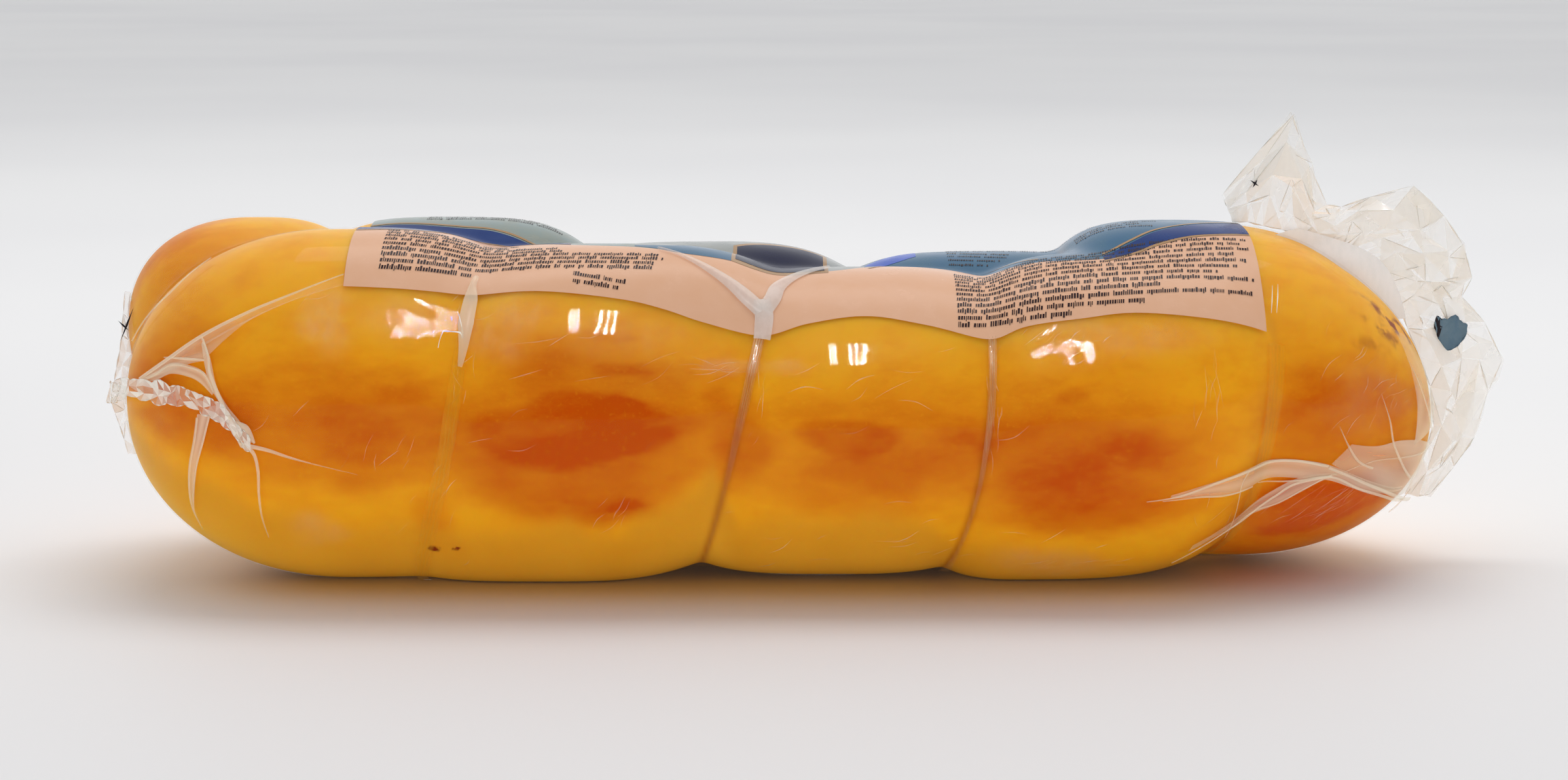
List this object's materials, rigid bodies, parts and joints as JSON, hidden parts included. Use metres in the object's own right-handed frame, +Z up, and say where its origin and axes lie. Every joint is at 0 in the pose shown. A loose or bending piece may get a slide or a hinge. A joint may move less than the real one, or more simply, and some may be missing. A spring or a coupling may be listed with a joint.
{
  "type": "smoked cheese braid",
  "caption": "Long smoked cheese braid of barrel-shaped lobes, sealed in clear printed shrink film with a crumpled film tail, lying on its side.",
  "frame": {"origin": "centre of the whole part's bounding box at the surface it rests on", "axes": "+X along the braid towards the long film tail, +Z up, -Y towards the front row of lobes"},
  "size_m": [0.3613, 0.1065, 0.1127],
  "materials": {
    "film_over_cheese": "glossy clear film tight over smoked cheese",
    "clear_film": "clear crinkled film",
    "paper": "matt white paper"
  },
  "bodies": {
    "root": {"braid": "film_over_cheese", "bag_end_left": "clear_film", "bag_end_right": "clear_film", "paper_leaf": "paper"}
  },
  "joints": []
}
